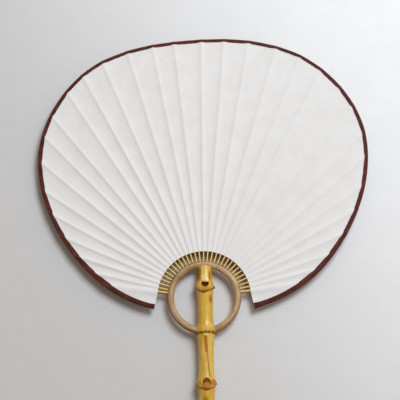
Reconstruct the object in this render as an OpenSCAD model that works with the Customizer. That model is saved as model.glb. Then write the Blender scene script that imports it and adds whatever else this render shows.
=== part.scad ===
// Round paper hand fan: a pleated paper blade on thin ribs, a wooden hoop and a bamboo-root handle.
// Millimetres. The fan lies on its back: +X to the right, +Y from the handle to the crown, +Z out of its
// front face.
// Inside the modules the hoop's centre is the zero point, and the blade's middle plane is z = 0.

/* [Blade] */
// Half of the blade's greatest width, which is also the radius of its lower arc
half_w = 136.5; // [128:0.5:146]
// How far the blade's lower corners lie below the hoop's centre
corner_low = 10.2; // [4:0.2:16]
// Height of the crown above the blade's widest line
crown_rise = 102.5; // [85:0.5:125]
// How much smaller the radius of the shoulders is than the crown's rise
shoulder_drop = 8; // [5:0.5:25]
// How far each lower corner stands outside the paper's inner edge
corner_out = 2.8; // [1:0.2:8]
// How far the hand-trimmed blade stands to the right of the hoop
blade_shift = 0.7; // [-2:0.1:2]
// How far its shoulders and crown are turned against the ribs, anticlockwise
blade_turn = 2.3; // [-4:0.1:4]
// How far its rim wanders in and out
trim_wander = 0.9; // [0:0.1:1.5]
// Angle from one flat stretch of the rim to the next, seen from the hoop
trim_pitch = 33.7; // [25:0.1:60]
// Angle of one flat stretch from the crown, clockwise, seen from the hoop
trim_flat = -2.2; // [-15:0.1:15]

/* [Ribs] */
// Number of ribs
rib_count = 31; // [21:2:41]
// Angle from the first rib to the last
rib_span = 165; // [145:1:167]
// Width of a rib in the blade's plane
rib_w = 1.2; // [0.7:0.1:1.5]
// Width of the outermost rib on each side
guard_w = 2.2; // [1.2:0.1:2.6]
// Thickness of a rib where it enters the hoop
rib_root_t = 1.9; // [1.3:0.1:2.4]
// Thickness that a rib would have at the crown
rib_tip_t = 1.3; // [0.8:0.1:1.9]
// Depth of a rib's end in its socket in the hoop
rib_seat = 2; // [1:0.1:3]
// Bare length of the ribs between the hoop and the paper
rib_show = 8; // [4:0.5:16]

/* [Paper and edge strip] */
// Thickness of one paper leaf
paper_t = 0.3; // [0.15:0.05:0.5]
// Thickness of the strip folded over the rim
strip_t = 0.35; // [0.2:0.05:0.6]
// Width of the strip on each face at the crown
strip_crown_w = 2.3; // [1.6:0.1:4]
// Width of the strip on each face at the lower corners
strip_end_w = 3.8; // [2:0.1:6]

/* [Hoop] */
// Radius of the hoop's centreline
hoop_r = 27.2; // [23:0.2:31]
// Radius of the hoop's round section
hoop_tube_r = 2.85; // [2.3:0.05:3.3]
// Saw cut where the bent hoop's two ends meet inside the handle
hoop_cut = 0.3; // [0.1:0.1:1]

/* [Handle] */
// How far the handle's sawn end stops short of the hoop's centreline
end_setback = 1.3; // [0.6:0.1:2]
// Length from the sawn end to the first node
top_len = 17.3; // [13:0.1:24]
// How far the second node lies below the hoop's centreline
node_drop = 1.3; // [0:0.1:4]
// Length from the second node to the third
internode_2 = 41.7; // [34:0.1:50]
// Length from the third node to the fourth
internode_3 = 40; // [34:0.1:50]
// Length from the fourth node to the rounded tail end
tail_len = 37.3; // [28:0.1:46]
// Radius at the sawn end
end_r = 5.4; // [4.6:0.1:6]
// Radius of the waist between the first two nodes
waist_1_r = 6.05; // [5.2:0.05:6.8]
// Radius of the waist between the second and third nodes
waist_2_r = 6.1; // [5.2:0.05:6.8]
// Radius of the waist between the third and fourth nodes
waist_3_r = 6.3; // [5.2:0.05:7]
// Radius near the tail end
tail_r = 6.2; // [5:0.1:7]
// Radius of the first node
node_1_r = 8.1; // [7.2:0.1:9]
// Radius of the second node, on which the fan lies
node_2_r = 8.6; // [8.2:0.1:9.6]
// Radius of the third node
node_3_r = 8; // [7.2:0.1:8.6]
// Radius of the fourth node
node_4_r = 7.8; // [7.2:0.1:8.6]
// Length over which a node's swelling dies out towards the hoop
swell_up = 3.6; // [2:0.1:5]
// Length over which a node's swelling dies out towards the tail
swell_down = 6.5; // [4:0.1:8]
// Rounding length of the tail end
tail_round = 3; // [1:0.1:5]
// Chamfer of the sawn end
end_chamfer = 0.5; // [0.2:0.1:1]
// Radius of the bud at the first and third nodes
bud_r = 3.2; // [2.4:0.1:3.8]
// How far a bud stands out of its node
bud_out = 0.5; // [0.2:0.1:1]
// How far a bud lies below its node
bud_low = 1.3; // [0.6:0.1:2]
// Radius of the pocket left by the bud at the first node
pocket_r = 2.8; // [2:0.1:3.4]
// Height of the pocket's flat top edge above the first node
pocket_top = 3.2; // [2.4:0.1:4]
// Depth of the pocket
pocket_deep = 2.4; // [1:0.1:3.4]
// Radius of the hole for a hanging loop
hang_r = 1.5; // [1:0.1:2.2]
// Distance of that hole from the tail end
hang_in = 9; // [7:0.5:14]

/* [Fits] */
// Clearance of the hoop in the handle
hoop_gap = 0.1; // [0.05:0.05:0.3]
// Clearance of a rib in its socket
socket_gap = 0.05; // [0.05:0.05:0.15]
// Thickness of a line of paste between paper, ribs and strip
paste = 0.05; // [0.03:0.01:0.1]
// Room between the edge of the paper and the fold of the strip
fold_gap = 0.3; // [0.1:0.05:0.6]

/* [Hidden] */
$fn = 96;
steps_radial = 3;
steps_flap = 4;
steps_handle = 8;
valley_steps = [0.25, 0.5, 0.75];
tail_steps = 6;

// Share of the flap over which the paper comes down from the first rib
flap_slope = 0.5;
// Exponents of the strip's widening and of the swelling above and below a node
strip_power = 1.5;
up_power = 1.6;
down_power = 1.3;
// Share of the pocket's radius by which its middle lies below its flat edge
pocket_share = 0.33;

hoop_out_r = hoop_r + hoop_tube_r;
rib_start = hoop_out_r - rib_seat;
paper_in_r = hoop_out_r + rib_show;
rib_pitch = rib_span / (rib_count - 1);
rib_1_angle = 90 - rib_span / 2;

// The blade's widest line stands where a low arc through both corners has its centre
corner_x = paper_in_r + corner_out;
corner = [corner_x, -corner_low];
mid_y = sqrt(half_w * half_w - corner_x * corner_x) - corner_low;
crown_y = mid_y + crown_rise;
blade_c = [blade_shift, mid_y];
// The arcs' centres in the turned blade, counted from blade_c
shoulder_r = crown_rise - shoulder_drop;
crown_r = (half_w * half_w - 2 * half_w * shoulder_r + crown_rise * crown_rise) / (2 * shoulder_drop);
low_c = [0, 0];
shoulder_c = [half_w - shoulder_r, 0];
crown_c = [0, crown_rise - crown_r];
edge_inset = strip_t + fold_gap;

end_y = hoop_r - end_setback;
node_1_y = end_y - top_len;
node_2_y = -hoop_r - node_drop;
node_3_y = node_2_y - internode_2;
node_4_y = node_3_y - internode_3;
tail_y = node_4_y - tail_len;
node_ys = [node_4_y, node_3_y, node_2_y, node_1_y];
node_rs = [node_4_r, node_3_r, node_2_r, node_1_r];
waist_table = [
    [tail_y, tail_r],
    [(node_3_y + node_4_y) / 2, waist_3_r],
    [(node_2_y + node_3_y) / 2, waist_2_r],
    [(node_1_y + node_2_y) / 2, waist_1_r],
    [end_y, end_r]
];
rest_z = max(node_rs);

function rib_name(i) = str("rib_", i < 10 ? "0" : "", i);

function mix(a, b, f) = a * (1 - f) + b * f;
function unit(v) = v / norm(v);
function ray(a) = [cos(a), sin(a)];
function left_of(u) = [-u[1], u[0]];
function turned(v, a) = [v[0] * cos(a) - v[1] * sin(a), v[0] * sin(a) + v[1] * cos(a)];
function flipped(v) = [-v[0], v[1]];

// Distance from point o along direction u to the far side of a circle
function to_circle(o, u, c, r) = (c - o) * u + sqrt(r * r - (c - o) * (c - o) + pow((c - o) * u, 2));

// Distance from point o along direction u to the arcs moved inwards by inset, on their right half
function to_arcs(o, u, inset) =
    let (low = to_circle(o, u, low_c, half_w - inset))
    let (shoulder = to_circle(o, u, shoulder_c, shoulder_r - inset))
    (o + u * low)[1] <= 0 ? low
        : on_shoulder(o + u * shoulder) ? shoulder
        : to_circle(o, u, crown_c, crown_r - inset);
function on_shoulder(p) =
    atan2(p[1] - crown_c[1], p[0]) <= atan2(shoulder_c[1] - crown_c[1], shoulder_c[0]);

// Distance from point o along direction u to the trimmed rim moved inwards by inset
function edge_distance(o, u, inset) =
    let (p = turned(o - blade_c, -blade_turn), v = turned(u, -blade_turn))
    let (plain = v[0] < 0 ? to_arcs(flipped(p), flipped(v), inset) : to_arcs(p, v, inset))
    plain - trim_wander * cos(360 * (from_crown(o + u * plain) - trim_flat) / trim_pitch);
function from_crown(p) = atan2(p[0], p[1]);

// Ribs are numbered from the right; the outermost two are the wider guards
function rib_angle(i) = rib_1_angle + (i - 1) * rib_pitch;
function rib_width(i) = i == 1 || i == rib_count ? guard_w : rib_w;
function rib_half_t(r) = mix(rib_root_t, rib_tip_t, (r - rib_start) / (crown_y - rib_start)) / 2;
function rib_edge(i, side, r) = ray(rib_angle(i)) * r + left_of(ray(rib_angle(i))) * side * rib_width(i) / 2;
function rib_tip(i) =
    let (u = ray(rib_angle(i)))
    min([for (s = [-1, 1]) edge_distance(rib_edge(i, s, 0), u, edge_inset)]);

// A column is a line across the paper: its inner point, its direction, and how high it lies, from 0 in a
// valley to 1 on a rib
function edge_column(i, side) = [rib_edge(i, side, paper_in_r), ray(rib_angle(i)), 1];
function valley_column(i, f) = [
    mix(edge_column(i, 1)[0], edge_column(i + 1, -1)[0], f),
    unit(mix(ray(rib_angle(i)), ray(rib_angle(i + 1)), f)),
    pow(2 * f - 1, 2)
];

// The flap below each outermost rib narrows to the sloping end cut, whose last stretch is its last column.
// The side is 1 on the right and -1 on the left.
function on_side(p, side) = [side * p[0], p[1]];
flap_top = rib_edge(1, -1, paper_in_r);
flap_cut = unit(corner - flap_top);
function rim_point(o, u) = o + u * edge_distance(o, u, 0);
function flap_column(f, side) =
    let (top = on_side(flap_top, side), cut = on_side(flap_cut, side))
    let (a = top + cut * edge_distance(top, cut, strip_end_w) * f)
    let (first = rim_point(top, on_side(ray(rib_1_angle), side)) - blade_c)
    let (last = rim_point(top, cut) - blade_c)
    let (turn = mix(atan2(first[1], first[0]), atan2(last[1], last[0]), f))
    let (b = blade_c + ray(turn) * mix(norm(first), norm(last), f))
    [a, unit(b - a), pow(max(0, 1 - f / flap_slope), 2)];

columns = concat(
    [for (j = [steps_flap:-1:1]) flap_column(j / steps_flap, 1)],
    [edge_column(1, -1), edge_column(1, 1)],
    [for (i = [2:rib_count]) each concat(
        [for (f = valley_steps) valley_column(i - 1, f)],
        [edge_column(i, -1), edge_column(i, 1)])],
    [for (j = [1:steps_flap]) flap_column(j / steps_flap, -1)]
);

function column_point(c, t) = c[0] + c[1] * t;
function column_edge(c, inset) = edge_distance(c[0], c[1], inset);
function paper_low(c, t) = paste + c[2] * rib_half_t(norm(column_point(c, t)));
function at_height(p, z) = [p[0], p[1], z];

rim = [for (c = columns) column_point(c, column_edge(c, 0))];
rim_xs = [for (p = rim) p[0]];
middle_x = (min(rim_xs) + max(rim_xs)) / 2;
middle_y = (max([for (p = rim) p[1]]) + tail_y) / 2;

// Triangles of a closed sheet of nc columns by nr rows, its upper points first
function sheet_faces(nc, nr) =
    let (n = nc * nr)
    concat(
        [for (i = [0:nc - 2], j = [0:nr - 2])
            let (a = i * nr + j)
            each [[a, a + nr, a + 1], [a + 1, a + nr, a + nr + 1],
                [n + a, n + a + 1, n + a + nr], [n + a + 1, n + a + nr + 1, n + a + nr]]],
        [for (i = [0:nc - 2])
            let (a = i * nr, b = a + nr - 1)
            each [[a, n + a, a + nr], [a + nr, n + a, n + a + nr],
                [b, b + nr, n + b], [b + nr, n + b + nr, n + b]]],
        [for (j = [0:nr - 2])
            let (a = j, b = (nc - 1) * nr + j)
            each [[a, a + 1, n + a], [a + 1, n + a + 1, n + a],
                [b, n + b, b + 1], [b + 1, n + b, n + b + 1]]]
    );

module leaf() {
    rows = steps_radial + 1;
    spots = [for (c = columns, j = [0:steps_radial]) [c, column_edge(c, edge_inset) * j / steps_radial]];
    low = [for (s = spots) at_height(column_point(s[0], s[1]), paper_low(s[0], s[1]))];
    high = [for (p = low) p + [0, 0, paper_t]];
    polyhedron(points = concat(high, low), faces = sheet_faces(len(columns), rows));
}

module front_leaf() {
    color("snow") leaf();
}

module back_leaf() {
    color("whitesmoke") mirror([0, 0, 1]) leaf();
}

// Width of the strip at a column, from the crown down to the corners
function corner_share(c) =
    let (p = column_point(c, column_edge(c, 0)))
    min(1, abs(from_crown(p)) / from_crown(corner));
function strip_w(c) = mix(strip_crown_w, strip_end_w, pow(corner_share(c), strip_power));

function strip_section(c) =
    let (t_in = column_edge(c, strip_w(c)), t_fold = column_edge(c, strip_t), t_out = column_edge(c, 0))
    let (inner = column_point(c, t_in), fold = column_point(c, t_fold), outer = column_point(c, t_out))
    let (z_in = paper_low(c, t_in) + paper_t + paste, z_out = paper_low(c, t_out) + paper_t + paste)
    [
        at_height(inner, z_in), at_height(inner, z_in + strip_t),
        at_height(outer, z_out + strip_t), at_height(outer, -z_out - strip_t),
        at_height(inner, -z_in - strip_t), at_height(inner, -z_in),
        at_height(fold, -z_out), at_height(fold, z_out)
    ];

module edge_strip() {
    sides = 8;
    last = (len(columns) - 1) * sides;
    walls = [for (i = [0:len(columns) - 2], k = [0:sides - 1])
        let (a = i * sides + k, b = i * sides + (k + 1) % sides)
        each [[a, a + sides, b], [b, a + sides, b + sides]]];
    caps = [[0, 1, 2, 7], [7, 2, 3, 6], [6, 3, 4, 5]];
    color("maroon")
    polyhedron(
        points = [for (c = columns) each strip_section(c)],
        faces = concat(walls, caps, [for (q = caps) [for (k = [3:-1:0]) last + q[k]]])
    );
}

// A straight bar along the rib's line, from radius r0 to r1, larger than the rib by gap
module rib_bar(i, r0, r1, gap) {
    w = rib_width(i) + 2 * gap;
    rotate([90, 0, rib_angle(i)])
    translate([0, 0, -w / 2])
    linear_extrude(w)
    polygon([
        [r0, -rib_half_t(r0) - gap],
        [r1, -rib_half_t(r1) - gap],
        [r1, rib_half_t(r1) + gap],
        [r0, rib_half_t(r0) + gap]
    ]);
}

module rib(i) {
    color("wheat") rib_bar(i, rib_start, rib_tip(i), 0);
}

module hoop_ring(r, sweep) {
    rotate(-90 + (360 - sweep) / 2)
    rotate_extrude(angle = sweep)
    translate([hoop_r, 0])
    circle(r);
}

module hoop() {
    cut_angle = 2 * asin(hoop_cut / 2 / hoop_r);
    color("tan")
    difference() {
        hoop_ring(hoop_tube_r, 360 - cut_angle);
        for (i = [1:rib_count]) rib_bar(i, rib_start - socket_gap, hoop_out_r + rib_seat, socket_gap);
    }
}

// Radius of the handle at height y: a slowly changing waist and a swelling at each node
function swelling(d) = d > 0 ? exp(-pow(d / swell_up, up_power)) : exp(-pow(-d / swell_down, down_power));
function handle_r(y) =
    let (waist = lookup(y, waist_table))
    waist + max([for (k = [0:3]) (node_rs[k] - lookup(node_ys[k], waist_table)) * swelling(y - node_ys[k])]);

stations = concat([tail_y + tail_round], node_ys, [end_y - end_chamfer]);
handle_ys = [for (k = [0:len(stations) - 2], j = [0:steps_handle - 1])
    mix(stations[k], stations[k + 1], (1 - cos(180 * j / steps_handle)) / 2)];

module handle_body() {
    tail_end_r = handle_r(tail_y + tail_round);
    rotate([-90, 0, 0])
    rotate_extrude()
    polygon(concat(
        [for (a = [0:90 / tail_steps:89]) [tail_end_r * sin(a), tail_y + tail_round * (1 - cos(a))]],
        [for (y = handle_ys) [handle_r(y), y]],
        [[handle_r(end_y - end_chamfer), end_y - end_chamfer]],
        [[handle_r(end_y) - end_chamfer, end_y], [0, end_y]]
    ));
}

module bud(y, r) {
    translate([0, y, r + bud_out - bud_r]) sphere(bud_r);
}

module bud_pocket() {
    top_y = node_1_y + pocket_top;
    floor_z = handle_r(top_y) - pocket_deep;
    intersection() {
        translate([0, top_y - pocket_r * pocket_share, floor_z]) cylinder(r = pocket_r, h = node_1_r);
        translate([-pocket_r, top_y - 2 * pocket_r, floor_z]) cube([2 * pocket_r, 2 * pocket_r, node_1_r]);
    }
}

module handle() {
    color("goldenrod")
    difference() {
        union() {
            handle_body();
            bud(node_1_y - bud_low, node_1_r);
            bud(node_3_y - bud_low, node_3_r);
        }
        hoop_ring(hoop_tube_r + hoop_gap, 360);
        bud_pocket();
        translate([0, tail_y + hang_in, 0]) cylinder(r = hang_r, h = 4 * tail_r, center = true);
    }
}

// Moves the zero point from the hoop's centre to the middle of the fan's footprint, on the surface it lies on
module placed() {
    translate([-middle_x, -middle_y, rest_z]) children();
}

placed() front_leaf();
placed() back_leaf();
placed() edge_strip();
placed() hoop();
placed() handle();
for (i = [1:rib_count])
    placed() rib(i);
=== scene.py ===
import random
from collections import namedtuple
from math import asin, atan2, cos, exp, pi, radians, sin, sqrt

import bpy
import numpy as np
from mathutils import Matrix, Vector, noise


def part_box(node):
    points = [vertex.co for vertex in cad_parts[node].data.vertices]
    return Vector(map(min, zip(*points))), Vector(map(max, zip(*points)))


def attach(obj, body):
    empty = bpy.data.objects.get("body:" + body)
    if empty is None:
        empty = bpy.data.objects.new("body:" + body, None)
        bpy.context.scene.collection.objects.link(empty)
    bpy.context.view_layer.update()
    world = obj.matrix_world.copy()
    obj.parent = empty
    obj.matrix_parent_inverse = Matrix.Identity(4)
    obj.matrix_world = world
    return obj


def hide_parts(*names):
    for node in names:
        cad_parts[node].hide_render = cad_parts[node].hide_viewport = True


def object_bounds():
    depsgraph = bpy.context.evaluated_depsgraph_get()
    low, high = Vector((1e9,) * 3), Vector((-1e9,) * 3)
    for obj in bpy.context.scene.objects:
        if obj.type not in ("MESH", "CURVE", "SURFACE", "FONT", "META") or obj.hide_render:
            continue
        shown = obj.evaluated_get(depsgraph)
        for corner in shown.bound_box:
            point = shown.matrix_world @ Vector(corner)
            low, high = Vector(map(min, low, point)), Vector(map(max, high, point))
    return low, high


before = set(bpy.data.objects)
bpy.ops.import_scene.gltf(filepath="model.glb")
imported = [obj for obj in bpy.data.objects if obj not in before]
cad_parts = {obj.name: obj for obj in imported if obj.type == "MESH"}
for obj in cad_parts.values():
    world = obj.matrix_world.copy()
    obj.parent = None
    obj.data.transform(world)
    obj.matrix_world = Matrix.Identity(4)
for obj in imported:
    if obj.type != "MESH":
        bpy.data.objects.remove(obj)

bl_info = {
    "name": "Round paper fan",
    "version": (1, 0, 0),
    "blender": (4, 5, 0),
    "location": "View3D > Sidebar > Paper fan",
    "description": "Builds the paper, ribs, hoop and root handle of a round fan round its packed solids",
    "category": "Add Mesh",
}

MM = 0.001
PER_MM = 1 / MM
WHOLE_TURN = 2 * pi
BODY = "root"

CAD_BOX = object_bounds()
HOOP_LOW, HOOP_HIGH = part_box("hoop")
HANDLE_LOW, HANDLE_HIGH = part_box("handle")
HUB = (HOOP_LOW + HOOP_HIGH) / 2
HOOP_OUTER = (HOOP_HIGH.x - HOOP_LOW.x) / 2
HOOP_TUBE = (HOOP_HIGH.z - HOOP_LOW.z) / 2
HOOP_BEND = HOOP_OUTER - HOOP_TUBE
RIB_NODES = sorted(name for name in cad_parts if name.startswith("rib_"))


# Sizes and colours that a user may change

def number(name, description, default, **more):
    """A plain number, or one with the unit or limits given."""
    return bpy.props.FloatProperty(name=name, description=description, default=default, **more)


def length(name, description, millimetres):
    """A length, given here in millimetres."""
    return number(name, description, millimetres * MM, unit="LENGTH")


def lengths(name, description, *millimetres):
    """Several lengths of one kind, given here in millimetres."""
    default = [size * MM for size in millimetres]
    return bpy.props.FloatVectorProperty(
        name=name, description=description, default=default, size=len(default), unit="LENGTH"
    )


def angle(name, description, degrees):
    """An angle, given here in degrees."""
    return number(name, description, radians(degrees), subtype="ANGLE")


def portion(name, description, default):
    """A number from 0 to 1."""
    return number(name, description, default, min=0, max=1)


def linear(channel):
    """A colour channel from 0 to 255, as seen, in linear light."""
    level = channel / 255
    return level / 12.92 if level <= 0.04045 else ((level + 0.055) / 1.055) ** 2.4


def colour(name, description, *channels):
    """A colour, given here in channels from 0 to 255 as seen."""
    default = [linear(channel) for channel in channels]
    return bpy.props.FloatVectorProperty(
        name=name, description=description, default=default, size=3, min=0, max=1, subtype="COLOR"
    )


class BladeSizes(bpy.types.PropertyGroup):
    """Outline of the blade and its paper, measured from the hoop's centre"""

    half_width: length("Half width", "Half of the blade's greatest width before trimming", 136.5)
    crown_rise: length("Crown rise", "Height of the crown above the blade's widest line", 102.5)
    corner_low: length("Corner drop", "How far the lower corners lie below the hoop's centre", 10.2)
    shift: length("Shift", "How far the hand-trimmed blade stands to the right of the hoop", 0.7)
    turn: angle("Turn", "How far shoulders and crown are turned against the ribs, anticlockwise", 2.3)
    trim_wander: length("Trim wander", "How far the trimmed rim wanders in and out", 0.9)
    trim_pitch: angle("Trim pitch", "Angle from one flat stretch of the rim to the next", 33.7)
    trim_flat: angle("Trim flat", "Angle of one flat stretch from the crown, clockwise", -2.2)
    corner_out: length("Corner outset", "How far a lower corner stands outside the inner edge", 2.8)
    shoulder_drop: length("Shoulder drop", "How much smaller the shoulders are than the crown's rise", 8)
    bare: length("Bare ribs", "Bare length of the ribs between hoop and paper", 8)
    leaf: length("Leaf thickness", "Thickness of one paper leaf", 0.3)
    paste: length("Paste", "Thickness of a line of paste", 0.05)
    cockle: length("Cockle", "Height of the paper's slow waves between the ribs", 0.1)
    shallow: portion("Shallow root", "How much shallower the pleats are at the paper's inner edge", 0.68)
    crease: portion("Crease", "Share of a pleat's depth that is pressed close to its ribs", 0.58)
    crease_width: length("Crease width", "Distance over which paper is pressed down beside a rib", 1.5)
    pull: portion("Pull", "How far the valleys are pulled towards the next rib, clockwise", 0.1)
    stray: angle("Stray", "How far a rib may stray from its true direction under the paper", 0.6)
    strip: length("Strip thickness", "Thickness of the strip folded over the rim", 0.35)
    strip_crown: length("Strip at crown", "Width of the strip on each face at the crown", 2.4)
    strip_end: length("Strip at corners", "Width of the strip on each face at the lower corners", 4.7)
    strip_dip: length("Strip in pleats", "How much wider the strip looks in the middle of a pleat", 0.5)
    strip_fold: length("Strip fold", "Radius of the strip's fold along the rim", 0.5)
    rim_gap: length("Rim gap", "Room between the edge of the paper and the fold", 0.3)


class RibSizes(bpy.types.PropertyGroup):
    """The split ribs and the two wider ones at the ends"""

    span: angle("Span", "Angle from the first rib to the last", 165)
    width: length("Rib width", "Width of a rib in the blade's plane", 1.2)
    guard_width: length("End rib width", "Width of the outermost rib on each side", 2.2)
    root_thickness: length("Root thickness", "Thickness of a rib where it enters the hoop", 1.9)
    tip_thickness: length("Tip thickness", "Thickness that a rib would have at the crown", 1.3)
    seat: length("Seat", "Depth of a rib's end in the hoop", 2)
    bevel: length("Bevel", "Width of the split slopes beside a rib's face", 0.18)
    guard_bevel: length("End rib bevel", "Width of the slope along the outer side of an end rib", 0.95)
    socket_gap: length("Socket gap", "Clearance of a rib in its socket", 0.05)


class HoopSizes(bpy.types.PropertyGroup):
    """The bent hoop"""

    tube: length("Section radius", "Radius of the hoop's round section", HOOP_TUBE * PER_MM)
    gap: length("Handle gap", "Clearance of the hoop in the handle", 0.1)
    cut: length("Saw cut", "Gap between the hoop's two ends inside the handle", 0.3)
    uneven: length("Unevenness", "How far the scraped section falls short of a true circle", 0.12)


class HandleSizes(bpy.types.PropertyGroup):
    """The bamboo-root handle, measured along Y from the hoop's centre"""

    top: length("Sawn end", "Height of the sawn end", (HANDLE_HIGH.y - HUB.y) * PER_MM)
    tail: length("Tail end", "Height of the rounded tail end", (HANDLE_LOW.y - HUB.y) * PER_MM)
    nodes: lengths("Nodes", "Heights of the four nodes, from the sawn end", 8.6, -28.5, -70.2, -110.2)
    radii: lengths("Node radii", "Radii at the four nodes, from the sawn end", 8.3, 8.9, 8.7, 7.8)
    waists: lengths("Waists", "Radii from the sawn end to the tail, without nodes", 5.4, 6.15, 6.2, 6.3, 6.2)
    tail_round: length("Tail rounding", "Length of the tail end's rounding", 3)
    swell_up: length("Swelling up", "Length over which a node dies out towards the hoop", 5)
    swell_down: length("Swelling down", "Length over which a node dies out towards the tail", 7.8)
    bow: length("Bow", "How far the root bends to the right of a straight line", 0.85)
    hang_radius: length("Hang hole radius", "Radius of the hole for a hanging loop", 1.5)
    hang_in: length("Hang hole place", "Distance of the hang hole from the tail end", 9)


class StageSizes(bpy.types.PropertyGroup):
    """Camera and light"""

    distance: length("Camera distance", "Distance of the camera from the point it looks at", 1100)
    tilt: angle("Camera tilt", "Angle between the view and the vertical", 14)
    roll: angle("Camera roll", "Turn of the camera about its own view", 0.8)
    aim: lengths("Aim", "Place across and along the fan that the camera looks at", -2.3, 81.4)
    lens: number("Lens", "Focal length for a 36 mm frame", 120.03, unit="CAMERA")
    lamp_distance: length("Lamp distance", "Distance of the soft lamp from the blade", 1300)
    lamp_size: length("Lamp size", "Side of the soft lamp", 560)
    lamp_height: angle("Lamp height", "Angle of the soft lamp above the table", 61)
    lamp_side: angle("Lamp side", "Direction of the soft lamp, counted from the right", 50)
    lamp_power: number("Lamp power", "Power of the soft lamp", 12.3, unit="POWER")
    fill: number("Fill", "Brightness of the even light from all sides", 0.31)
    lean: portion("Lean", "How much brighter the even light is on the lamp's side", 0.65)
    warmth: portion("Warmth", "How much warmer the even light is than the lamp", 0.2)


class Colours(bpy.types.PropertyGroup):
    """Colours of the finishes, as seen in even light"""

    paper: colour("Paper", "Pressed rice paper", 233, 232, 232)
    paper_cloud: colour("Paper clouds", "Thicker clouds in the paper", 229, 228, 227)
    # Painted highlight along the paper's cut inner edge.
    paper_edge: colour("Paper edge", "Cut inner edge of the paper", 246, 238, 224)
    strip: colour("Strip", "Edge strip", 94, 40, 32)
    strip_dark: colour("Strip, dark", "Dark cloud in the edge strip", 70, 28, 22)
    strip_worn: colour("Strip, worn", "Rubbed fold of the edge strip", 118, 62, 52)
    rib: colour("Rib", "Split bamboo", 246, 220, 168)
    rib_deep: colour("Rib, deep", "Deeper fibres of the ribs", 206, 166, 100)
    # Painted shade: the ribs' split sides are darker than their lit faces.
    rib_side_shade: colour("Rib, side", "Split sides of the ribs", 176, 124, 52)
    hoop: colour("Hoop", "Scraped wood of the hoop", 197, 165, 125)
    # Painted light: the hoop's right side, towards the lamp, is lighter.
    hoop_painted_light: colour("Hoop, pale", "Bleached wood on the hoop's right side", 223, 193, 152)
    # This colour also multiplies in the soil patches and the painted shade on the hoop's outer side.
    hoop_deep_and_shade: colour("Hoop, deep", "Deeper fibres of the hoop", 158, 122, 78)
    root: colour("Root", "Varnished bamboo root", 219, 179, 52)
    root_green: colour("Root, green", "Greener streaks of the root", 186, 156, 44)
    root_amber: colour("Root, amber", "Amber streaks of the root", 216, 152, 38)
    root_pale: colour("Root, pale", "Pale streaks of the root", 242, 216, 128)
    stain: colour("Stain", "Orange stain under the varnish", 172, 104, 2)
    # Also used for the painted shade in the first node's pocket and the buds' hollows.
    scar: colour("Scar", "Root scars and bud skin", 92, 39, 3)
    # Painted warm shade on the table under the bare ribs.
    glow: colour("Glow", "Warm shade that the bare ribs throw on the table", 255, 230, 168)
    line: colour("Line", "Fine cracks and dirt in the creases", 136, 84, 6)
    # The table's two colours paint a pool of light: darker at the lower left, lighter towards the lamp at the
    # upper right.
    table: colour("Table", "Pale table, lower left", 210, 210, 211)
    table_painted_light: colour("Table, light", "Pale table, upper right", 243, 244, 246)


# Meshes

# Faces that meet at more than this many degrees show a sharp edge between them
CREASE = 40


def put(x, y, z):
    """A point of the fan: x and y from the hoop's centre, z from the blade's middle plane."""
    return (HUB.x + x, HUB.y + y, HUB.z + z)


def shape(name, points, faces):
    """A mesh of points and faces."""
    mesh = bpy.data.meshes.new(name)
    mesh.from_pydata(points, [], faces)
    return mesh


def soften(mesh, crease):
    """Smooth shading with sharp edges where faces turn by more than crease degrees."""
    mesh.polygons.foreach_set("use_smooth", [True] * len(mesh.polygons))
    mesh.set_sharp_from_angle(angle=radians(crease))
    mesh.update()
    return mesh


def skin(name, rings, closed=False, crease=CREASE):
    """A mesh over rings of points, joined in order. Open ends are capped by ladders of faces."""
    count = len(rings[0])
    faces = []
    for i in range(len(rings) if closed else len(rings) - 1):
        a, b = i * count, (i + 1) % len(rings) * count
        faces += [(a + j, a + (j + 1) % count, b + (j + 1) % count, b + j) for j in range(count)]
    if not closed:
        last = (len(rings) - 1) * count
        for j in range(count // 2 - 1):
            k = count - 1 - j
            faces += [(j, k, k - 1, j + 1), (last + j, last + j + 1, last + k - 1, last + k)]
    return soften(shape(name, [point for ring in rings for point in ring], faces), crease)


def join(meshes, name):
    """One mesh of several."""
    points, faces = [], []
    for mesh in meshes:
        first = len(points)
        points += [tuple(vertex.co) for vertex in mesh.vertices]
        faces += [tuple(first + k for k in polygon.vertices) for polygon in mesh.polygons]
    return shape(name, points, faces)


def place(name, data):
    """A new object in the scene."""
    made = bpy.data.objects.new(name, data)
    bpy.context.scene.collection.objects.link(made)
    return made


def cut(mesh, cutter):
    """Takes the cutter's volume out of the mesh."""
    body, tool = (place(part.name, part) for part in (mesh, cutter))
    modifier = body.modifiers.new("cut", "BOOLEAN")
    modifier.operation = "DIFFERENCE"
    modifier.solver = "EXACT"
    modifier.object = tool
    bpy.context.view_layer.update()
    whole = body.evaluated_get(bpy.context.evaluated_depsgraph_get())
    result = bpy.data.meshes.new_from_object(whole)
    for made in (body, tool):
        bpy.data.objects.remove(made)
    return soften(result, CREASE)


def show(name, mesh, material, node):
    """Shows a mesh in place of its packed node, riding on the fan's one body."""
    piece = place(name, mesh)
    mesh.materials.clear()
    mesh.materials.append(material)
    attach(piece, BODY)
    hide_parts(node)


def mix(first, second, share):
    return first * (1 - share) + second * share


def ray(turn):
    """Direction at an angle from the right, anticlockwise."""
    return Vector((cos(turn), sin(turn)))


def turn_of(way):
    """Angle of a direction from the right, anticlockwise."""
    return atan2(way.y, way.x)


def left_of(way):
    return Vector((-way.y, way.x))


def on_side(point, side):
    """A point of the right half, or its mirror image if side is -1."""
    return Vector((side * point.x, point.y))


def from_crown(point):
    """Angle of a point from the crown, clockwise, seen from the hoop's centre."""
    return atan2(point.x, point.y)


# The blade's outline and its pleats

# How many lines cross a rib, a pleat and the flap at each end, and how many steps a line has
RIB_COLUMNS = 3
VALLEY_COLUMNS = 13
FLAP_COLUMNS = 12
LEAF_ROWS = 46

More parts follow.
